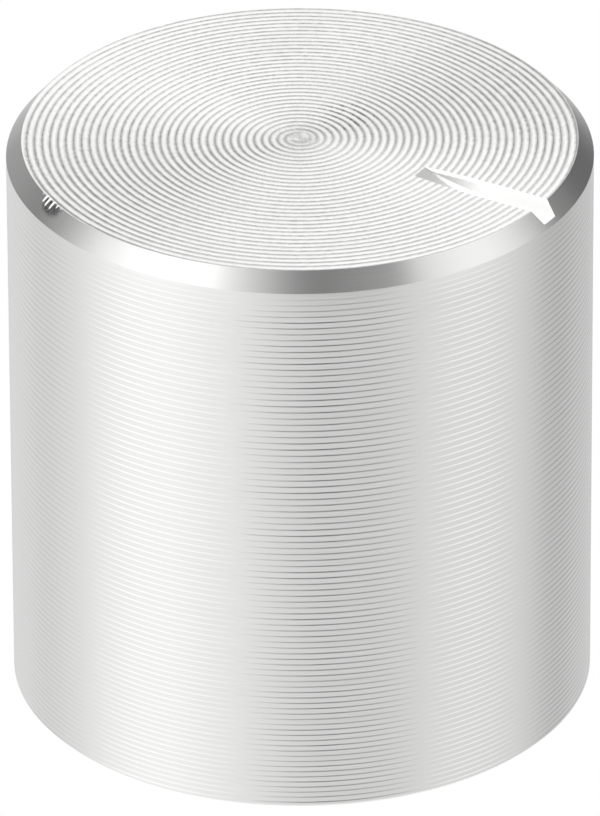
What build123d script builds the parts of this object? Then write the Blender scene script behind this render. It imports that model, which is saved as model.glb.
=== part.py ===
"""Turned aluminium control knob for a 6 mm round shaft, with the set screw that grips the shaft.

The origin is on the turning axis in the plane of the base. +Z points up to the ringed face,
+X points along the pointer slot and -X through the set screw. All sizes are in millimetres.
"""

import math
import os

from build123d import *

# Knob, from the outside
knob_d = 17.0
knob_h = 17.5
rim_chamfer_w = 0.46
rim_chamfer_h = 0.52
base_break = 0.1

# Facing marks on the top: rings with sharp ridges, one for each feed of the tool
face_feed = 0.227
ring_depth = 0.02

# Pointer slot, cut by a disc cutter that plunges in and then runs out through the rim
slot_start_r = 3.99
slot_floor_w = 0.6
slot_depth = 0.4
slot_draft = 19.0
cutter_d = 17.0

# Recess under the knob, which clears a nut and washer on the panel
recess_d = 12.0
recess_depth = 2.0

# Blind bore for the shaft, drilled to leave a cap of solid metal under the face
shaft_d = 6.0
shaft_gap = 0.05
cap_thickness = 3.5
bore_lead = 0.25
drill_point = 118.0

# Set screw with a hexagon socket and a cup point, and the hole that it runs in.
# Its head lies just under the knob's side and its tip just clear of the bore.
screw_d = 3.0
screw_gap = 0.05
screw_height = 6.0
screw_inset = 0.35
screw_standoff = 0.1
screw_chamfer = 0.3
socket_across = 1.5
socket_depth = 2.0
cup_d = 1.5
cup_depth = 0.35
hole_countersink = 0.25

# How far a cutting shape runs past the surface that it cuts
cut_over = 1.0

knob_r = knob_d / 2
face_r = knob_r - rim_chamfer_w
bore_r = shaft_d / 2 + shaft_gap
bore_top = knob_h - cap_thickness
drill_tip_h = bore_r / math.tan(math.radians(drill_point / 2))
hole_r = screw_d / 2 + screw_gap
screw_tip_x = -(bore_r + screw_standoff)
screw_length = knob_r - screw_inset - bore_r - screw_standoff


def face_points():
    """Points of the ringed face from the rim's chamfer to the axis: a valley, then a ridge, for each feed.

    The tool leaves a small pip on the axis, as high as the ridges.
    """
    points = []
    ridge_r = face_r
    for ring in range(int(face_r / face_feed)):
        valley_r = face_r - ring * face_feed
        ridge_r = valley_r - face_feed / 2
        points += [(valley_r, knob_h - ring_depth), (ridge_r, knob_h)]
    return points + [(ridge_r / 2, knob_h - ring_depth), (0, knob_h)]


def knob_points():
    """Half section of the knob, from the drill point under the face round to the face's centre."""
    return [
        (0, bore_top + drill_tip_h),
        (bore_r, bore_top),
        (bore_r, recess_depth + bore_lead),
        (bore_r + bore_lead, recess_depth),
        (recess_d / 2, recess_depth),
        (recess_d / 2, 0),
        (knob_r - base_break, 0),
        (knob_r, base_break),
        (knob_r, knob_h - rim_chamfer_h),
        *face_points(),
    ]


def slot_profile(floor_z, top_z):
    """Corners of the slot's section in its own plane: a flat floor and two drafted walls."""
    rise = top_z - floor_z
    half_floor = slot_floor_w / 2
    half_top = half_floor + rise * math.tan(math.radians(slot_draft))
    return [(-half_floor, floor_z), (half_floor, floor_z), (half_top, top_z), (-half_top, top_z)]


with BuildPart() as knob_body:
    with BuildSketch(Plane.XZ) as section:
        with BuildLine():
            Polyline(*knob_points(), close=True)
        make_face()
    revolve(axis=Axis.Z)

    # Pointer slot: the cutter's centre stands where the floor becomes level
    cutter_r = cutter_d / 2
    slot_floor_z = knob_h - slot_depth
    plunge = math.sqrt(cutter_r**2 - (cutter_r - slot_depth) ** 2)
    slot_level_x = slot_start_r + plunge
    slot_top_z = knob_h + cut_over
    with BuildSketch(Plane.YZ.offset(slot_level_x)) as slot_section:
        Polygon(*slot_profile(slot_floor_z, slot_top_z), align=None)
    extrude(amount=knob_r + cut_over - slot_level_x, mode=Mode.SUBTRACT)
    cutter_axis = Axis((slot_level_x, 0, slot_floor_z + cutter_r), (0, 1, 0))
    revolve(slot_section.sketch, axis=cutter_axis, mode=Mode.SUBTRACT)

    # Cross hole for the set screw, open to the bore
    with BuildSketch(Plane((0, 0, screw_height), x_dir=(0, 1, 0), z_dir=(-1, 0, 0))) as cross_hole:
        Circle(hole_r)
    extrude(amount=knob_r + cut_over, mode=Mode.SUBTRACT)
    sink_plane = Plane((-knob_r, 0, screw_height), x_dir=(0, 1, 0), z_dir=(-1, 0, 0))
    with Locations(sink_plane):
        Cone(
            hole_r - hole_countersink,
            hole_r + hole_countersink,
            4 * hole_countersink,
            mode=Mode.SUBTRACT,
        )
knob_body.part.label = "knob_body"

with BuildPart() as set_screw:
    with BuildSketch(Plane((screw_tip_x, 0, screw_height), x_dir=(0, 1, 0), z_dir=(-1, 0, 0))):
        Circle(screw_d / 2)
    extrude(amount=screw_length)
    tip_edges = set_screw.edges().group_by(Axis.X)[-1]
    head_edges = set_screw.edges().group_by(Axis.X)[0]
    chamfer(tip_edges + head_edges, screw_chamfer)
    head = set_screw.faces().sort_by(Axis.X)[0]
    with BuildSketch(Plane(head.center(), x_dir=(0, 1, 0), z_dir=(-1, 0, 0))):
        RegularPolygon(socket_across / 2, 6, major_radius=False)
    extrude(amount=-socket_depth, mode=Mode.SUBTRACT)
    tip = set_screw.faces().sort_by(Axis.X)[-1]
    with Locations(Plane(tip.center(), x_dir=(0, 1, 0), z_dir=(1, 0, 0))):
        Cone(
            0,
            cup_d / 2,
            cup_depth,
            align=(Align.CENTER, Align.CENTER, Align.MAX),
            mode=Mode.SUBTRACT,
        )
set_screw.part.label = "set_screw"

os.makedirs("parts", exist_ok=True)
export_step(knob_body.part, "parts/knob_body.step")
export_step(set_screw.part, "parts/set_screw.step")
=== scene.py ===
"""The looks of a turned aluminium control knob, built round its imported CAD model.

The knob stands on its base with the turning axis on Z. The pointer slot runs along +X and the
set screw lies along -X. Lengths are in metres, and a turn is a share of a whole turn round Z.
"""

import math

import bmesh
import bpy
from mathutils import Matrix, Vector


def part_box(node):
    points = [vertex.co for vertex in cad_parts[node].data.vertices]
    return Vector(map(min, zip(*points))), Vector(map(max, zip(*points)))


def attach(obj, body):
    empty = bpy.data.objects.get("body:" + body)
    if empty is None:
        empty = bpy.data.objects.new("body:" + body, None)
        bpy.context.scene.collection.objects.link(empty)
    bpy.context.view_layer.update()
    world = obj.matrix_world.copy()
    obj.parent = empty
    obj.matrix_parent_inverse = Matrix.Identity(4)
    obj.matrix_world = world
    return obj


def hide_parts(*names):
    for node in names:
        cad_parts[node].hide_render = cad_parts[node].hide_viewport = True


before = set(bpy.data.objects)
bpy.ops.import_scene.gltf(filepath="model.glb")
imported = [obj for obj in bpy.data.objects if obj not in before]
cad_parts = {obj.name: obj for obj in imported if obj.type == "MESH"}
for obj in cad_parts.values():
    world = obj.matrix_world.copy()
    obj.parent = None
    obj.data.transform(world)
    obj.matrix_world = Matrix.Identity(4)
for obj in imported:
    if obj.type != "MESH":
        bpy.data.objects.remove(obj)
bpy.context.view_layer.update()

MM = 0.001
TAU = 2 * math.pi
KNOB_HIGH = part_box("knob_body")[1]
SCREW_LOW, SCREW_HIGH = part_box("set_screw")
RADIUS = KNOB_HIGH.x
HEIGHT = KNOB_HIGH.z

# Rim, base edge and underside
CHAMFER_W = 0.46 * MM
CHAMFER_H = 0.52 * MM
FACE_R = RADIUS - CHAMFER_W
SIDE_TOP = HEIGHT - CHAMFER_H
BASE_BREAK = 0.1 * MM
RECESS_R = 6.0 * MM
RECESS_DEPTH = 2.0 * MM
BORE_R = 3.05 * MM
BORE_LEAD = 0.25 * MM
CAP_THICKNESS = 3.5 * MM
DRILL_POINT = math.radians(118)

# How the round surfaces are divided, and how near a row of a spiral may come to its edges, in feeds
SEGMENTS = 160
ROW_MARGIN = 0.02

# Spiral on the face: hollows that rise steeply to sharp ridges. Its start and its offset from the
# axis are in feeds, and slopes are rise over run.
FACE_FEED = 0.227 * MM
FACE_START = 0.19
FACE_OFFSET = 0.3
FACE_OFFSET_ANGLE = math.radians(-73)
FACE_SLOPE = 0.371
FACE_POWER = 1.33
FACE_VALLEY = 0.5
FACE_ROW_SHARE = 0.34

# Pip that the tool leaves on the axis
PIP_R = 1.2 * FACE_FEED
PIP_SLOPE = -0.04
PIP_SHARE = 0.9
DIMPLE_SHARE = 0.5
DIMPLE_DEPTH = 0.004 * MM
PIP_DEPTH = 0.002 * MM

# Helix on the side: a short step that faces up and a long land that brings the side back out.
# The marks vary a little in strength, over two unlike beats, and are faint under the chamfer.
SIDE_FEED = 0.2 * MM
SIDE_STEP_SLOPE = 0.149
SIDE_STEP_SHARE = 0.287
LAND_SLOPE = -2 * SIDE_STEP_SHARE * SIDE_STEP_SLOPE / (3 - 2 * SIDE_STEP_SHARE)
MARK_VARIETY = 0.15
MARK_BEATS = (0.139, 0.291)
FAINT_BAND = 0.9 * MM
FAINTEST = 0.15

# The side's feed is widest at one height, in millimetres. Away from it the marks to the millimetre
# grow in number, by the first narrowing times the distance squared and the second times its cube.
WIDEST_AT = 11.2
WIDEST_FEED = 0.20351
WIDEST_TURNS = 55.56
NARROWING = (0.0154, 0.000657)

# How many times a span of heights is halved to find where the helix has made some number of turns
HALVINGS = 40

# Pointer slot, and how far its cutter starts before it in the air
SLOT_START_R = 3.99 * MM
SLOT_FLOOR_W = 0.6 * MM
SLOT_DEPTH = 0.4 * MM
SLOT_DRAFT = math.radians(19)
SLOT_CUTTER_R = 8.5 * MM
SLOT_LEAD = 0.6 * MM
SLOT_STATIONS = 24

# Strokes of the nick in the rim: direction round the axis in degrees, and reach down the chamfer
NICKS = [(-122.3, 0.34), (-120.9, 0.40), (-119.2, 0.38), (-117.7, 0.19), (-116.4, 0.13), (-124.0, 0.12)]
NICK_MIDDLE = math.radians(-119.4)
NICK_DEPTH = 0.038 * MM
NICK_FULL_REACH = 0.35
NICK_SKEW = 0.2
NICK_STEEP_WALL = math.radians(68)
NICK_SHALLOW_WALL = math.radians(28)

# Course of a stroke, as shares of its reach and its depth, and height of its cutter in depths
NICK_COURSE = [(-0.3, 1.2), (0.6, 1.0), (0.9, 0.7), (1.15, -0.4)]
NICK_CUTTER_HEIGHT = 3

# Set screw and its hole
SCREW_R = SCREW_HIGH.y
SCREW_Z = (SCREW_LOW.z + SCREW_HIGH.z) / 2
SCREW_CHAMFER = 0.3 * MM
SOCKET_SIDES = 6
SOCKET_ACROSS = 1.5 * MM
SOCKET_DEPTH = 2.0 * MM
CUP_R = 0.75 * MM
CUP_DEPTH = 0.35 * MM
CUP_POINT_R = 0.02 * MM
CUP_SEGMENTS = 32
HOLE_R = 1.55 * MM
HOLE_SEGMENTS = 64
HOLE_COUNTERSINK = 0.25 * MM

# Thread: widths of its crest and its root are shares of the pitch
THREAD_PITCH = 0.5 * MM
THREAD_ROOT_R = 1.19 * MM
THREAD_CREST = 1 / 8
THREAD_ROOT = 1 / 4
THREAD_SEGMENTS = 48

# How far cutting shapes run past the surface that they cut
CUT_OVER = 1 * MM
SMALL_CUT_OVER = 0.1 * MM
SINK_OUTSIDE = 0.5 * MM
SINK_INSIDE = HOLE_COUNTERSINK + 0.15 * MM

# Edges that turn by more than this are sharp
SHARP_ANGLE = math.radians(24)

# Colours
ALUMINIUM = (0.912, 0.913, 0.906)
MILLED_ALUMINIUM = (0.97, 0.97, 0.965)
TORN_ALUMINIUM = (0.12, 0.12, 0.115)
DULL_ALUMINIUM = (0.2, 0.2, 0.195)
BLACK_OXIDE = (0.05, 0.05, 0.055)
BARE_STEEL = (0.22, 0.21, 0.2)

# Finish of each material: colour, roughness, and how much rougher it is across its tool marks
FINISHES = {
    "turned_face": (ALUMINIUM, 0.24, 0.81),
    "turned_side": (ALUMINIUM, 0.182, 0.2),
    "bright_chamfer": (ALUMINIUM, 0.195, 0.42),
    "turned_under": (ALUMINIUM, 0.36, 0.3),
    "drilled_bore": (ALUMINIUM, 0.34, 0.3),
    "milled_slot": (MILLED_ALUMINIUM, 0.11, 0.0),
    "torn_nick": (ALUMINIUM, 0.2, 0.0),
    "black_oxide": (BLACK_OXIDE, 0.42, 0.0),
}

# Grain in the metal: cells to a metre, levels of detail, and height of its bumps, if it has any
GRAIN = {
    "specks": (13000.0, 1.0, 0.0028 * MM),
    "dashes": (9000.0, 1.0, 0.007 * MM),
    "streaks": (1500.0, 2.0, 0.0016 * MM),
    "chamfer_lines": (14000.0, 2.0, 0.0006 * MM),
    "tool_lines": (9000.0, 2.0, 0.0015 * MM),
    "cutter_marks": (7000.0, 2.0, 0.001 * MM),
    "cloudiness": (700.0, 2.0, 0.0),
    "mottling": (24000.0, 2.0, 0.0),
    "worn_spots": (4000.0, 3.0, 0.0),
}

# How the grain lies: the arc round the axis is squeezed, so that the cells are long round the axis
DASH_SQUEEZE = 0.5
STREAK_STRETCH = 9.0
CHAMFER_SQUEEZE = 0.04
TOOL_LINE_SQUEEZE = 0.02

# Noise at the least and the most cloudy places, the roughness there, and the pip's share of it
CLOUDY = (0.3, 0.7)
FACE_ROUGHNESS = (0.23, 0.25)
STEEL_ROUGHNESS = (0.36, 0.5)
PIP_ROUGHNESS_SHARE = 0.6
PIP_EDGE = (0.85 * PIP_R, 1.2 * PIP_R)

# Torn marks: dark dashes on the face, most of them in one place right of the pip. They run along
# the outer flank of a hollow, and their middle lies a small share of a feed before the ridge.
TORN_PLACE = (0.5 * MM, 1.75 * MM, HEIGHT)
TORN_REACH = (0.45 * MM, 1.1 * MM)
TORN_ELSEWHERE = 0.15
TORN_DASHES = (0.42, 0.62)
TORN_BEFORE_RIDGE = 0.1
TORN_WIDTH = (0.06, 0.18)

# Dull halo round the nick, wider round the rim than down the chamfer
HALO_SQUEEZE = 0.45
HALO_DROP = 0.2 * CHAMFER_H
HALO_REACH = (0.14 * MM, 0.28 * MM)
HALO_SPOTS = (0.40, 0.54)
HALO_BETWEEN_SPOTS = 0.15

# Noise from which the black oxide is worn to bare steel
WORN_FROM = (0.62, 0.72)

# White table under the knob
TABLE_R = 600 * MM
TABLE_SEGMENTS = 96
TABLE_GAP = 0.02 * MM

# The photograph's camera: its picture plane is turned by POINTER_TURN from the slot
POINTER_TURN = math.radians(31.6)
CAMERA_ELEVATION = math.radians(29.266)
CAMERA_ROLL = math.radians(-0.242)
CAMERA_DISTANCE = 46.675 * RADIUS
CAMERA_AIM_RIGHT = -0.0036 * RADIUS
CAMERA_AIM_HEIGHT = 1.0019 * RADIUS
CAMERA_LENS = 599.06
CAMERA_SENSOR = 36
CAMERA_NEAREST = 10 * MM

# Studio, in degrees: middle of the patch (0 is to the camera's right, 90 behind the knob), half
# of its width, its lowest and highest elevation, how soft its sides and its ends are, strength
DIMMEST = 0.02
AMBIENT = 0.135
EXPOSURE = 1.27
STUDIO = {
    "left_box": (-142, 38, -19, 51, 59, 53, 1.57),
    "right_box": (-18, 65, 31, 45, 35, 30, 0.73),
    "backdrop": (93, 10, -8, 56, 28, 5, 0.99),
    "floor": (-62, 400, -100, -28, 25, 59, 0.83),
    "floor_left": (-172, 36, -82, -7, 22, 12, 0.08),
    "floor_right": (-22, 24, -28, 17, 46, 14, 0.6),
    "backdrop_low": (114, 36, -32, 30, 51, 18, 0.2),
    "overhead_right": (26, 53, 49, 66, 32, 13, 0.22),
    "backdrop_right": (25, 64, 33, 46, 10, 34, 0.69),
    "ceiling": (90, 120, 62, 100, 30, 16, 0.3),
    "ceiling_left": (180, 45, 50, 85, 20, 10, 0.75),
    "left_edge": (167, 15, 18, 42, 8, 10, 0.09),
    "right_edge": (17, 6, 18, 38, 12, 10, 0.05),
    "floor_gap": (32, 12, -60, -8, 20, 14, -0.08),
    "dark_front": (-116, 39, -17, 38, 11, 9, -0.39),
    "backdrop_edge": (46, 12, 20, 59, 8, 13, 0.57),
}


class Nodes:
    """Short calls for building a node tree."""

    def __init__(self, owner):
        owner.use_nodes = True
        self.tree = owner.node_tree
        self.tree.nodes.clear()

    def add(self, kind, **settings):
        node = self.tree.nodes.new(kind)
        for name, value in settings.items():
            setattr(node, name, value)
        return node

    def put(self, socket, value):
        if isinstance(value, bpy.types.NodeSocket):
            self.tree.links.new(value, socket)
        else:
            socket.default_value = value

    def math(self, operation, *values):
        node = self.add("ShaderNodeMath", operation=operation)
        for socket, value in zip(node.inputs, values):
            self.put(socket, value)
        return node.outputs[0]

    def blend(self, value, reach, low=0.0, high=1.0):
        """An even curve from low to high while value goes from one end of its reach to the other."""
        node = self.add("ShaderNodeMapRange", interpolation_type="SMOOTHSTEP")
        limits = {"From Min": reach[0], "From Max": reach[1], "To Min": low, "To Max": high}
        for name, setting in limits.items():
            node.inputs[name].default_value = setting
        self.put(node.inputs["Value"], value)
        return node.outputs["Result"]

    def join(self, x, y, z):
        node = self.add("ShaderNodeCombineXYZ")
        for socket, value in zip(node.inputs, (x, y, z)):
            self.put(socket, value)
        return node.outputs[0]

    def grain(self, kind, vector):
        """Noise in the cells of one kind of grain."""
        cells, detail, _ = GRAIN[kind]
        node = self.add("ShaderNodeTexNoise")
        self.put(node.inputs["Vector"], vector)
        node.inputs["Scale"].default_value = cells
        node.inputs["Detail"].default_value = detail
        return node.outputs["Fac"]

    def bump(self, kind, noise, normal=None):
        """The normal of a surface with bumps as high as that kind of grain has them."""
        node = self.add("ShaderNodeBump")
        self.put(node.inputs["Height"], noise)
        node.inputs["Distance"].default_value = GRAIN[kind][2]
        if normal is not None:
            self.put(node.inputs["Normal"], normal)
        return node.outputs["Normal"]

    def distance(self, vector, point):
        node = self.add("ShaderNodeVectorMath", operation="DISTANCE")
        self.put(node.inputs[0], vector)
        node.inputs[1].default_value = point
        return node.outputs["Value"]

    def mix(self, share, colour, other):
        node = self.add("ShaderNodeMix", data_type="RGBA")
        self.put(node.inputs["Factor"], share)
        node.inputs["A"].default_value = (*colour, 1)
        node.inputs["B"].default_value = (*other, 1)
        return node.outputs["Result"]


def object_place(nodes):
    return nodes.add("ShaderNodeTexCoord").outputs["Object"]


def around_axis(nodes, place):
    """A position as it lies on a cylinder round Z: radius, arc at the rim's radius, and height."""
    split = nodes.add("ShaderNodeSeparateXYZ")
    nodes.put(split.inputs[0], place)
    x, y, z = split.outputs
    squares = nodes.math("ADD", nodes.math("MULTIPLY", x, x), nodes.math("MULTIPLY", y, y))
    radius = nodes.math("SQRT", squares)
    arc = nodes.math("MULTIPLY", nodes.math("ARCTAN2", y, x), RADIUS)
    return radius, arc, z


def metal(name):
    """A metal with its finish, rougher across the tool marks that run round Z than along them."""
    colour, roughness, grain = FINISHES[name]
    quarter_turn = 0.25
    material = bpy.data.materials.new(name)
    nodes = Nodes(material)
    output = nodes.add("ShaderNodeOutputMaterial")
    shader = nodes.add("ShaderNodeBsdfPrincipled")
    tangent = nodes.add("ShaderNodeTangent", direction_type="RADIAL", axis="Z")
    shader.inputs["Base Color"].default_value = (*colour, 1)
    shader.inputs["Metallic"].default_value = 1.0
    shader.inputs["Roughness"].default_value = roughness
    shader.inputs["Anisotropic"].default_value = grain
    shader.inputs["Anisotropic Rotation"].default_value = quarter_turn
    nodes.put(shader.inputs["Tangent"], tangent.outputs["Tangent"])
    nodes.put(output.inputs["Surface"], shader.outputs["BSDF"])
    return material, nodes, shader


def face_metal():
    """The ringed face, with fine tearing in the metal between the tool's ridges and a smoother pip."""
    material, nodes, shader = metal("turned_face")
    place = object_place(nodes)
    radius, arc, _ = around_axis(nodes, place)
    specks = nodes.grain("specks", place)
    dashes = nodes.grain("dashes", nodes.join(nodes.math("MULTIPLY", arc, DASH_SQUEEZE), radius, 0.0))
    nodes.put(shader.inputs["Normal"], nodes.bump("specks", specks, nodes.bump("dashes", dashes)))
    roughness = nodes.blend(nodes.grain("cloudiness", place), CLOUDY, *FACE_ROUGHNESS)
    pip = nodes.blend(radius, PIP_EDGE, PIP_ROUGHNESS_SHARE, 1.0)
    nodes.put(shader.inputs["Roughness"], nodes.math("MULTIPLY", roughness, pip))
    torn = nodes.math("MULTIPLY", torn_share(nodes, place), ridge_share(nodes, radius, arc))
    torn = nodes.math("MULTIPLY", torn, nodes.blend(dashes, TORN_DASHES))
    nodes.put(shader.inputs["Base Color"], nodes.mix(torn, ALUMINIUM, TORN_ALUMINIUM))
    return material


def torn_share(nodes, place):
    """How torn the ridges of the face are: strongly in one place, a little elsewhere."""
    return nodes.blend(nodes.distance(place, TORN_PLACE), TORN_REACH, 1.0, TORN_ELSEWHERE)


def ridge_share(nodes, radius, arc):
    """1 on the outer flank of a hollow, just before the ridge, and 0 elsewhere."""
    turn = nodes.math("DIVIDE", arc, TAU * RADIUS)
    angle = nodes.math("DIVIDE", arc, RADIUS)
    swing = nodes.math("COSINE", nodes.math("SUBTRACT", angle, FACE_OFFSET_ANGLE))
    start = nodes.math("ADD", nodes.math("MULTIPLY", swing, FACE_OFFSET), turn)
    travel = nodes.math("SUBTRACT", nodes.math("DIVIDE", radius, FACE_FEED), start)
    share = nodes.math("FRACT", nodes.math("ADD", travel, 0.5 + TORN_BEFORE_RIDGE - FACE_START))
    away = nodes.math("ABSOLUTE", nodes.math("SUBTRACT", share, 0.5))
    return nodes.blend(away, TORN_WIDTH, 1.0, 0.0)


def side_metal():
    """The turned side, with faint streaks that are short across the tool marks."""
    material, nodes, shader = metal("turned_side")
    _, arc, z = around_axis(nodes, object_place(nodes))
    streaks = nodes.grain("streaks", nodes.join(arc, nodes.math("MULTIPLY", z, STREAK_STRETCH), 0.0))
    nodes.put(shader.inputs["Normal"], nodes.bump("streaks", streaks))
    return material


def chamfer_metal():
    """The bright-cut chamfer, with faint tool lines and a dull halo round the nick."""
    material, nodes, shader = metal("bright_chamfer")
    place = object_place(nodes)
    _, arc, z = around_axis(nodes, place)
    squeezed = nodes.math("MULTIPLY", arc, CHAMFER_SQUEEZE)
    lines = nodes.grain("chamfer_lines", nodes.join(squeezed, z, 0.0))
    nodes.put(shader.inputs["Normal"], nodes.bump("chamfer_lines", lines))
    middle = (HALO_SQUEEZE * NICK_MIDDLE * RADIUS, HEIGHT - HALO_DROP, 0)
    away = nodes.distance(nodes.join(nodes.math("MULTIPLY", arc, HALO_SQUEEZE), z, 0.0), middle)
    near = nodes.blend(away, HALO_REACH, 1.0, 0.0)
    spots = nodes.blend(nodes.grain("mottling", place), HALO_SPOTS, HALO_BETWEEN_SPOTS, 1.0)
    dull = nodes.math("MULTIPLY", near, spots)
    nodes.put(shader.inputs["Base Color"], nodes.mix(dull, ALUMINIUM, DULL_ALUMINIUM))
    return material


def lined_metal(name):
    """Surfaces with fine lines round the axis, as a turning tool or a drill leaves them."""
    material, nodes, shader = metal(name)
    radius, arc, z = around_axis(nodes, object_place(nodes))
    squeezed = nodes.math("MULTIPLY", arc, TOOL_LINE_SQUEEZE)
    lines = nodes.grain("tool_lines", nodes.join(squeezed, z, radius))
    nodes.put(shader.inputs["Normal"], nodes.bump("tool_lines", lines))
    return material


def slot_metal():
    """The pointer slot, bright from a sharp milling cutter."""
    material, nodes, shader = metal("milled_slot")
    marks = nodes.grain("cutter_marks", object_place(nodes))
    nodes.put(shader.inputs["Normal"], nodes.bump("cutter_marks", marks))
    return material


def black_steel():
    """Black oxide on the set screw, worn to bare steel in small spots."""
    material, nodes, shader = metal("black_oxide")
    spots = nodes.grain("worn_spots", object_place(nodes))
    worn = nodes.blend(spots, WORN_FROM)
    nodes.put(shader.inputs["Base Color"], nodes.mix(worn, BLACK_OXIDE, BARE_STEEL))
    nodes.put(shader.inputs["Roughness"], nodes.blend(spots, CLOUDY, *STEEL_ROUGHNESS))
    return material


MATERIALS = {
    "face": face_metal(),
    "side": side_metal(),
    "chamfer": chamfer_metal(),
    "under": lined_metal("turned_under"),
    "bore": lined_metal("drilled_bore"),
    "slot": slot_metal(),
    "nick": lined_metal("torn_nick"),
}
ZONES = list(MATERIALS)


def polar(radius, angle, height):
    return Vector((radius * math.cos(angle), radius * math.sin(angle), height))


def side_travel(height):
    """Turns that the side's helix has made at that height."""
    away = height / MM - WIDEST_AT
    return WIDEST_TURNS + away / WIDEST_FEED + NARROWING[0] * away**3 / 3 + NARROWING[1] * away**4 / 4


def side_height(travel):
    """Height at which the helix has made that many turns, found by halving a span round the side."""
    low, high = -HEIGHT, 2 * HEIGHT
    for _ in range(HALVINGS):
        middle = (low + high) / 2
        if side_travel(middle) < travel:
            low = middle
        else:
            high = middle
    return (low + high) / 2


def face_start(turn):
    """Feeds from the axis to where the spiral starts, which is centred a little off the axis."""
    return FACE_START + FACE_OFFSET * math.cos(TAU * turn - FACE_OFFSET_ANGLE)


def face_travel(radius, turn):
    """Turns that the face's spiral has made at that radius, in that direction."""
    return radius / FACE_FEED - face_start(turn)


def face_radius(travel, turn):
    return (travel + face_start(turn)) * FACE_FEED


def strength(height, turns):
    """How strong a mark on the side is: a little uneven, and faint under the chamfer."""
    clear = min(max((SIDE_TOP - height) / FAINT_BAND, 0), 1)
    slow, quick = MARK_BEATS
    uneven = math.sin(TAU * slow * turns) + math.sin(TAU * quick * turns + 1)
    return (FAINTEST + (1 - FAINTEST) * clear) * (1 + 0.5 * MARK_VARIETY * uneven)


def valley_share(share):
    """Signed distance from the hollow's lowest line: 1 at the ridge nearer the axis, -1 at the next."""
    if share < FACE_VALLEY:
        return 1 - share / FACE_VALLEY
    return (FACE_VALLEY - share) / (1 - FACE_VALLEY)


def face_depth(radius, turn):
    """Depth of the spiral hollow below its ridges."""
    across = abs(valley_share((face_travel(radius, turn) - turn) % 1.0))
    deepest = FACE_SLOPE * FACE_VALLEY * FACE_FEED / (FACE_POWER + 1)
    return deepest * (1 - across ** (FACE_POWER + 1))


def face_slope(share):
    """Slope of the hollow, down and outwards, at that share of the feed from one ridge to the next."""
    across = valley_share(share)
    steepest = FACE_SLOPE if across > 0 else FACE_SLOPE * FACE_VALLEY / (1 - FACE_VALLEY)
    return steepest * math.copysign(abs(across) ** FACE_POWER, across)


def side_slope(share):
    """Slope of the side inwards at that share of the feed: the step comes first, then the land."""
    step = min(share / SIDE_STEP_SHARE, 1)
    return LAND_SLOPE + (SIDE_STEP_SLOPE - LAND_SLOPE) * 4 * step * (1 - step)


def side_depth(height, turn):
    """Depth of the helical mark below the edge of its step: its slope, summed from there."""
    phase = side_travel(height) - turn
    share = phase % 1.0
    step = min(share / SIDE_STEP_SHARE, 1)
    rise = LAND_SLOPE * step + (SIDE_STEP_SLOPE - LAND_SLOPE) * (2 * step**2 - 4 * step**3 / 3)
    depth = SIDE_FEED * (SIDE_STEP_SHARE * rise + LAND_SLOPE * max(share - SIDE_STEP_SHARE, 0))
    return max(depth, 0) * strength(height, phase - share + turn)


def face_point(radius, turn):
    return polar(radius, TAU * turn, HEIGHT - face_depth(radius, turn))


def face_edge_point(turn):
    """Where the face meets the chamfer, which is lower and wider where the hollow is deep."""
    depth = face_depth(FACE_R, turn)
    return polar(FACE_R + depth * CHAMFER_W / CHAMFER_H, TAU * turn, HEIGHT - depth)


def side_point(height, turn):
    return polar(RADIUS - side_depth(height, turn), TAU * turn, height)


def side_edge_point(turn):
    """Where the side meets the chamfer, on the chamfer's own cone."""
    depth = side_depth(SIDE_TOP, turn)
    return polar(RADIUS - depth, TAU * turn, SIDE_TOP + depth * CHAMFER_H / CHAMFER_W)


def thread_point(travel, turn):
    """On the set screw, whose travel runs from its cup to its socket, that is towards -X."""
    barely = 1e-6
    share = (travel / THREAD_PITCH - turn + barely) % 1.0
    flank = (abs(share - 0.5) - THREAD_CREST / 2) / ((1 - THREAD_CREST - THREAD_ROOT) / 2)
    radius = SCREW_R - (SCREW_R - THREAD_ROOT_R) * min(max(flank, 0), 1)
    length = SCREW_HIGH.x - SCREW_LOW.x
    end_r = SCREW_R - SCREW_CHAMFER
    radius = min(radius, end_r + travel, end_r + length - travel)
    angle = TAU * turn
    return Vector((SCREW_HIGH.x - travel, radius * math.cos(angle), SCREW_Z - radius * math.sin(angle)))


def ring(mesh, place, segments=SEGMENTS):
    """One closed row of vertices; place gives the point for a share of the turn."""
    return [mesh.verts.new(place(column / segments)) for column in range(segments)]


def circle(mesh, radius, height):
    return ring(mesh, lambda turn: polar(radius, TAU * turn, height))


def add_face(mesh, corners, zone):
    face = mesh.faces.new(corners)
    face.material_index = ZONES.index(zone) if zone else 0


def skin(mesh, rows, zone=None):
    """Quads between rows of vertices that follow each other along the surface."""
    for lower, upper in zip(rows, rows[1:]):
        for column in range(len(lower)):
            after = (column + 1) % len(lower)
            add_face(mesh, (lower[column], lower[after], upper[after], upper[column]), zone)


def fan(mesh, corners, middle, zone):
    for column in range(len(corners)):
        add_face(mesh, (corners[column], corners[(column + 1) % len(corners)], middle), zone)


def band_columns(mesh, phases, segments, start, end, place):
    """The vertices inside a spiral band: for each column, its vertices by the number of their row."""
    rows_per_feed = len(phases)
    columns = []
    for column in range(segments):
        turn = column / segments
        first = (math.floor(start(turn)) - 2) * rows_per_feed
        last = math.ceil(end(turn)) * rows_per_feed
        rows = {}
        for row in range(first, last + 1):
            travel = row // rows_per_feed + phases[row % rows_per_feed] + turn
            if start(turn) + ROW_MARGIN < travel < end(turn) - ROW_MARGIN:
                rows[row] = mesh.verts.new(place(travel, turn))
        columns.append(rows)
    return columns


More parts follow.
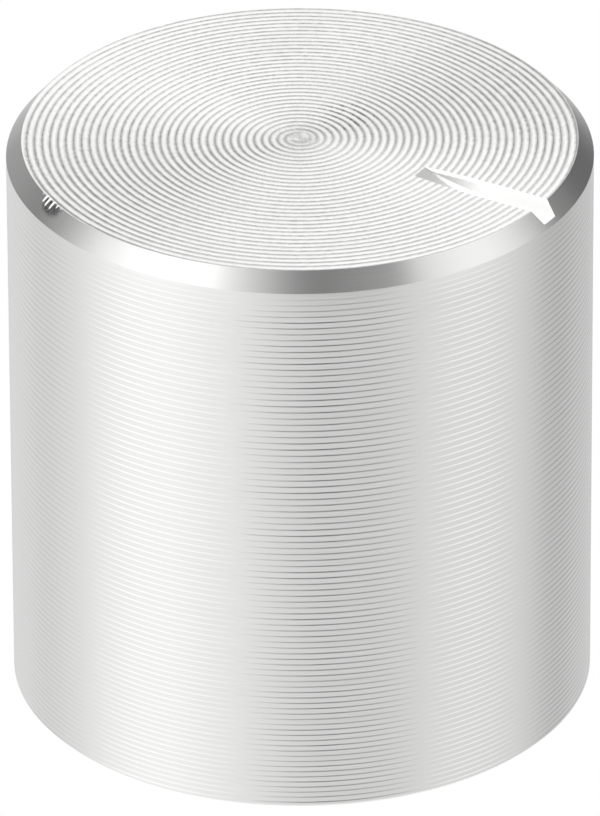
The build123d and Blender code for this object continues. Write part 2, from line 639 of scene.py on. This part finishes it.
def spiral_band(mesh, phases, start_ring, end_ring, start, end, place, zone=None):
    """The surface between two rings, with rows of vertices that travel by one feed in each turn.

    Travel is counted in feeds, and there is a row at each of the phases of every feed. The row
    that leaves the last column joins the one a whole feed further on in the first column. The
    start, the end and the place of a vertex are given for a share of the turn.
    """
    segments = len(start_ring)
    columns = band_columns(mesh, phases, segments, start, end, place)
    for column in range(segments):
        after = (column + 1) % segments
        shift = len(phases) if after == 0 else 0
        here = columns[column]
        there = {row - shift: vertex for row, vertex in columns[after].items()}
        low = max(min(here), min(there))
        high = min(max(here), max(there))
        for row in range(low, high):
            add_face(mesh, (here[row], there[row], there[row + 1], here[row + 1]), zone)
        near = [there[row] for row in range(min(there), low + 1)]
        near += [here[row] for row in range(low, min(here) - 1, -1)]
        add_face(mesh, [start_ring[column], start_ring[after], *near], zone)
        far = [here[row] for row in range(max(here), high - 1, -1)]
        far += [there[row] for row in range(high, max(there) + 1)]
        add_face(mesh, [*far, end_ring[after], end_ring[column]], zone)


def closed(mesh):
    bmesh.ops.recalc_face_normals(mesh, faces=mesh.faces)
    return mesh


def under_surface(mesh, side_foot):
    """The blind bore, its lead, the recess round it and the base, out to the foot of the side."""
    bore_top = HEIGHT - CAP_THICKNESS
    drill_tip = mesh.verts.new((0, 0, bore_top + BORE_R / math.tan(DRILL_POINT / 2)))
    bore_end = circle(mesh, BORE_R, bore_top)
    bore_mouth = circle(mesh, BORE_R, RECESS_DEPTH + BORE_LEAD)
    lead = circle(mesh, BORE_R + BORE_LEAD, RECESS_DEPTH)
    recess_corner = circle(mesh, RECESS_R, RECESS_DEPTH)
    recess_edge = circle(mesh, RECESS_R, 0)
    base_edge = circle(mesh, RADIUS - BASE_BREAK, 0)
    fan(mesh, bore_end, drill_tip, "bore")
    skin(mesh, [bore_end, bore_mouth, lead], "bore")
    skin(mesh, [lead, recess_corner, recess_edge, base_edge, side_foot], "under")


def side_surface(mesh, side_foot, side_top):
    quarter = SIDE_STEP_SHARE / 4
    spiral_band(
        mesh,
        [0, quarter, 3 * quarter, SIDE_STEP_SHARE],
        side_foot,
        side_top,
        lambda turn: side_travel(BASE_BREAK),
        lambda turn: side_travel(SIDE_TOP),
        lambda travel, turn: side_point(side_height(travel), turn),
        "side",
    )


def face_surface(mesh, face_edge):
    """The spiral on the face, and the pip with a shallow dimple in its middle."""
    pip_ring = ring(mesh, lambda turn: face_point(PIP_R, turn))
    dimple_ring = circle(mesh, DIMPLE_SHARE * PIP_R, HEIGHT - DIMPLE_DEPTH)
    inner = FACE_ROW_SHARE * FACE_VALLEY
    outer = 1 - FACE_ROW_SHARE * (1 - FACE_VALLEY)
    spiral_band(
        mesh,
        [0, inner, FACE_VALLEY, outer],
        pip_ring,
        face_edge,
        lambda turn: face_travel(PIP_R, turn),
        lambda turn: face_travel(FACE_R, turn),
        lambda travel, turn: face_point(face_radius(travel, turn), turn),
        "face",
    )
    skin(mesh, [pip_ring, dimple_ring], "face")
    fan(mesh, dimple_ring, mesh.verts.new((0, 0, HEIGHT - PIP_DEPTH)), "face")


def knob_shell():
    """The closed surface of the knob before its slot, nick and cross hole are cut."""
    mesh = bmesh.new()
    side_foot = ring(mesh, lambda turn: side_point(BASE_BREAK, turn))
    side_top = ring(mesh, side_edge_point)
    face_edge = ring(mesh, face_edge_point)
    under_surface(mesh, side_foot)
    side_surface(mesh, side_foot, side_top)
    skin(mesh, [side_top, face_edge], "chamfer")
    face_surface(mesh, face_edge)
    return closed(mesh)


def loft(mesh, sections):
    """A closed solid through sections that have the same number of corners."""
    rows = [[mesh.verts.new(corner) for corner in section] for section in sections]
    skin(mesh, rows)
    mesh.faces.new(rows[0])
    mesh.faces.new(rows[-1])


def slot_cutter():
    """The slot's drafted section, down the disc cutter's arc and then straight out past the rim."""
    mesh = bmesh.new()
    floor_z = HEIGHT - SLOT_DEPTH
    top_z = HEIGHT + CUT_OVER
    level_x = SLOT_START_R + math.sqrt(SLOT_CUTTER_R**2 - (SLOT_CUTTER_R - SLOT_DEPTH) ** 2)
    first_x = SLOT_START_R - SLOT_LEAD
    step = (level_x - first_x) / SLOT_STATIONS
    stations = [first_x + step * i for i in range(SLOT_STATIONS + 1)] + [RADIUS + CUT_OVER]
    half = SLOT_FLOOR_W / 2
    sections = []
    for x in stations:
        z = floor_z + SLOT_CUTTER_R - math.sqrt(SLOT_CUTTER_R**2 - max(level_x - x, 0) ** 2)
        wide = half + (top_z - z) * math.tan(SLOT_DRAFT)
        sections.append([(x, -half, z), (x, half, z), (x, wide, top_z), (x, -wide, top_z)])
    loft(mesh, sections)
    return closed(mesh)


def nick_cutter():
    """Skewed V cuts that start over the face's edge and run out part of the way down the chamfer."""
    mesh = bmesh.new()
    slope = math.atan2(CHAMFER_H, CHAMFER_W)
    length = math.hypot(CHAMFER_W, CHAMFER_H)
    up = Vector((0, 0, 1))
    for degrees, reach in NICKS:
        angle = math.radians(degrees)
        outward = polar(1, angle, 0)
        aside = polar(1, angle + TAU / 4, 0)
        normal = outward * math.sin(slope) + up * math.cos(slope)
        along = outward * math.cos(slope) - up * math.sin(slope) - aside * NICK_SKEW
        edge = polar(FACE_R, angle, HEIGHT)
        depth = NICK_DEPTH * min(1, reach / NICK_FULL_REACH)
        high = NICK_CUTTER_HEIGHT * depth
        sections = []
        for share, deep in NICK_COURSE:
            bottom = edge + along * share * reach * length - normal * deep * depth
            left = bottom + normal * high - aside * high / math.tan(NICK_SHALLOW_WALL)
            right = bottom + normal * high + aside * high / math.tan(NICK_STEEP_WALL)
            sections.append([bottom, right, left])
        loft(mesh, sections)
    return closed(mesh)


def drill(start_x, end_x, start_r, end_r, segments):
    """A round or many-sided cutter along X at the set screw's height."""
    mesh = bmesh.new()
    angles = [TAU * i / segments for i in range(segments)]
    sections = []
    for x, radius in ((start_x, start_r), (end_x, end_r)):
        sections.append([(x, radius * math.cos(a), SCREW_Z + radius * math.sin(a)) for a in angles])
    loft(mesh, sections)
    return closed(mesh)


def hole_cutter():
    return drill(-BORE_R / 2, -RADIUS - CUT_OVER, HOLE_R, HOLE_R, HOLE_SEGMENTS)


def countersink_cutter():
    rim_r = HOLE_R + HOLE_COUNTERSINK
    start_x, end_x = -RADIUS - SINK_OUTSIDE, -RADIUS + SINK_INSIDE
    return drill(start_x, end_x, rim_r + SINK_OUTSIDE, rim_r - SINK_INSIDE, HOLE_SEGMENTS)


def socket_cutter():
    corner_r = SOCKET_ACROSS / math.sqrt(3)
    start_x, end_x = SCREW_LOW.x - SMALL_CUT_OVER, SCREW_LOW.x + SOCKET_DEPTH
    return drill(start_x, end_x, corner_r, corner_r, SOCKET_SIDES)


def cup_cutter():
    mouth_r = CUP_R * (1 + SMALL_CUT_OVER / CUP_DEPTH)
    start_x, end_x = SCREW_HIGH.x + SMALL_CUT_OVER, SCREW_HIGH.x - CUP_DEPTH
    return drill(start_x, end_x, mouth_r, CUP_POINT_R, CUP_SEGMENTS)


def as_object(mesh, name, materials=()):
    data = bpy.data.meshes.new(name)
    mesh.to_mesh(data)
    mesh.free()
    for material in materials:
        data.materials.append(material)
    piece = bpy.data.objects.new(name, data)
    bpy.context.scene.collection.objects.link(piece)
    return piece


def cut(piece, mesh, material):
    """Take the solid in mesh from the piece; the new faces get the material."""
    cutter = as_object(mesh, "cutter", [material])
    modifier = piece.modifiers.new("cut", "BOOLEAN")
    modifier.operation = "DIFFERENCE"
    modifier.solver = "EXACT"
    modifier.material_mode = "TRANSFER"
    modifier.object = cutter
    graph = bpy.context.evaluated_depsgraph_get()
    before = piece.data
    piece.data = bpy.data.meshes.new_from_object(piece.evaluated_get(graph), depsgraph=graph)
    piece.modifiers.clear()
    bpy.data.meshes.remove(before)
    bpy.data.objects.remove(cutter)


def shade(piece):
    """Smooth faces, with sharp edges where two zones meet or the surface turns sharply."""
    mesh = bmesh.new()
    mesh.from_mesh(piece.data)
    for face in mesh.faces:
        face.smooth = True
    for edge in mesh.edges:
        if len(edge.link_faces) == 2:
            one, other = edge.link_faces
            differs = one.material_index != other.material_index
            edge.smooth = not (differs or edge.calc_face_angle(0) > SHARP_ANGLE)
    mesh.to_mesh(piece.data)
    mesh.free()


def face_normal(point, centre, turn, centre_turn):
    """The normal of the spiral hollow, or of the pip, at a corner of the face with that centre.

    A corner on a ridge takes the slope of the hollow that its face lies in.
    """
    if centre.xy.length < PIP_SHARE * PIP_R:
        share = min(point.xy.length / PIP_R, 1)
        return polar(PIP_SLOPE * math.sin(TAU / 2 * share), TAU * turn, 1)
    share = (face_travel(point.xy.length, turn) - turn) % 1.0
    middle = face_travel(centre.xy.length, centre_turn) - centre_turn
    if min(share, 1 - share) < ROW_MARGIN:
        share = round(middle % 1.0)
    return polar(face_slope(share), TAU * turn, 1)


def side_normal(point, centre, turn, centre_turn):
    """The normal of the helical mark at a corner of the side with that centre."""
    share = (side_travel(point.z) - turn) % 1.0
    mark = math.floor(side_travel(centre.z) - centre_turn) + centre_turn
    return polar(1, TAU * turn, side_slope(share) * strength(point.z, mark))


def true_normals(piece):
    """Normals of the round marks themselves, where the flat faces only come near them."""
    normal_of = {"face": face_normal, "side": side_normal}
    data = piece.data
    normals = [(0.0, 0.0, 0.0)] * len(data.loops)
    for polygon in data.polygons:
        zone = ZONES[polygon.material_index]
        if zone not in normal_of:
            continue
        centre = polygon.center
        centre_turn = math.atan2(centre.y, centre.x) / TAU
        for index in polygon.loop_indices:
            point = data.vertices[data.loops[index].vertex_index].co
            turn = math.atan2(point.y, point.x) / TAU
            normals[index] = normal_of[zone](point, centre, turn, centre_turn).normalized()
    data.normals_split_custom_set(normals)


def knob():
    piece = as_object(knob_shell(), "turned_knob", MATERIALS.values())
    cut(piece, slot_cutter(), MATERIALS["slot"])
    cut(piece, nick_cutter(), MATERIALS["nick"])
    cut(piece, hole_cutter(), MATERIALS["bore"])
    cut(piece, countersink_cutter(), MATERIALS["bore"])
    shade(piece)
    true_normals(piece)
    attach(piece, "root")
    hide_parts("knob_body")


def screw():
    """The set screw with its thread, hexagon socket and cup point."""
    length = SCREW_HIGH.x - SCREW_LOW.x
    root, crest = THREAD_ROOT / 2, THREAD_CREST / 2
    mesh = bmesh.new()
    cup_end = ring(mesh, lambda turn: thread_point(0, turn), THREAD_SEGMENTS)
    socket_end = ring(mesh, lambda turn: thread_point(length, turn), THREAD_SEGMENTS)
    spiral_band(
        mesh,
        [0, root, 0.5 - crest, 0.5 + crest, 1 - root],
        cup_end,
        socket_end,
        lambda turn: 0,
        lambda turn: length / THREAD_PITCH,
        lambda travel, turn: thread_point(travel * THREAD_PITCH, turn),
    )
    mesh.faces.new(cup_end)
    mesh.faces.new(socket_end)
    steel = black_steel()
    piece = as_object(closed(mesh), "threaded_screw", [steel])
    cut(piece, socket_cutter(), steel)
    cut(piece, cup_cutter(), steel)
    shade(piece)
    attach(piece, "root")
    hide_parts("set_screw")


def floor():
    """A bright white table, clear from below, that the knob doesn't mirror: it mirrors the studio."""
    mesh = bmesh.new()
    bmesh.ops.create_circle(mesh, cap_ends=True, segments=TABLE_SEGMENTS, radius=TABLE_R)
    bmesh.ops.translate(mesh, verts=mesh.verts, vec=(0, 0, -TABLE_GAP))
    material = bpy.data.materials.new("white_table")
    nodes = Nodes(material)
    glow = nodes.add("ShaderNodeEmission")
    mix = nodes.add("ShaderNodeMixShader")
    nodes.put(mix.inputs[0], nodes.add("ShaderNodeNewGeometry").outputs["Backfacing"])
    nodes.put(mix.inputs[1], glow.outputs[0])
    nodes.put(mix.inputs[2], nodes.add("ShaderNodeBsdfTransparent").outputs[0])
    nodes.put(nodes.add("ShaderNodeOutputMaterial").inputs["Surface"], mix.outputs[0])
    piece = as_object(mesh, "floor", [material])
    piece.visible_glossy = False


def light_patch(nodes, azimuth, elevation, patch):
    """One soft patch of the studio's light."""
    middle, half, low, high, soft_sides, soft_ends = (math.radians(value) for value in patch[:6])
    turned = nodes.math("SUBTRACT", azimuth, middle + POINTER_TURN)
    away = nodes.math("ARCCOSINE", nodes.math("COSINE", turned))
    side, end = soft_sides / 2, soft_ends / 2
    light = nodes.blend(away, (half - side, half + side), patch[6], 0.0)
    light = nodes.math("MULTIPLY", light, nodes.blend(elevation, (low - end, low + end)))
    return nodes.math("MULTIPLY", light, nodes.blend(elevation, (high - end, high + end), 1.0, 0.0))


def studio():
    """The lit room as the knob mirrors it: soft patches of light on a dim ground."""
    world = bpy.data.worlds.new("studio")
    bpy.context.scene.world = world
    nodes = Nodes(world)
    split = nodes.add("ShaderNodeSeparateXYZ")
    nodes.put(split.inputs[0], nodes.add("ShaderNodeTexCoord").outputs["Generated"])
    azimuth = nodes.math("ARCTAN2", split.outputs["Y"], split.outputs["X"])
    elevation = nodes.math("ARCSINE", split.outputs["Z"])
    total = AMBIENT
    for patch in STUDIO.values():
        total = nodes.math("ADD", light_patch(nodes, azimuth, elevation, patch), total)
    total = nodes.math("MAXIMUM", total, DIMMEST)
    background = nodes.add("ShaderNodeBackground")
    nodes.put(background.inputs["Strength"], nodes.math("MULTIPLY", total, EXPOSURE))
    nodes.put(nodes.add("ShaderNodeOutputWorld").inputs["Surface"], background.outputs[0])


def camera():
    """The photograph's camera, with the picture's brightness left as it is rendered."""
    turn = Matrix.Rotation(POINTER_TURN, 4, "Z")
    back = Vector((0, -math.cos(CAMERA_ELEVATION), math.sin(CAMERA_ELEVATION)))
    aim = Vector((CAMERA_AIM_RIGHT, 0, CAMERA_AIM_HEIGHT))
    data = bpy.data.cameras.new("camera")
    data.sensor_width = CAMERA_SENSOR
    data.lens = CAMERA_LENS
    data.clip_start = CAMERA_NEAREST
    piece = bpy.data.objects.new("camera", data)
    bpy.context.scene.collection.objects.link(piece)
    facing = back.to_track_quat("Z", "Y").to_matrix().to_4x4()
    roll = Matrix.Rotation(CAMERA_ROLL, 4, "Z")
    piece.matrix_world = turn @ Matrix.Translation(aim + CAMERA_DISTANCE * back) @ facing @ roll
    bpy.context.scene.camera = piece
    bpy.context.scene.view_settings.view_transform = "Standard"


knob()
screw()
floor()
studio()
camera()
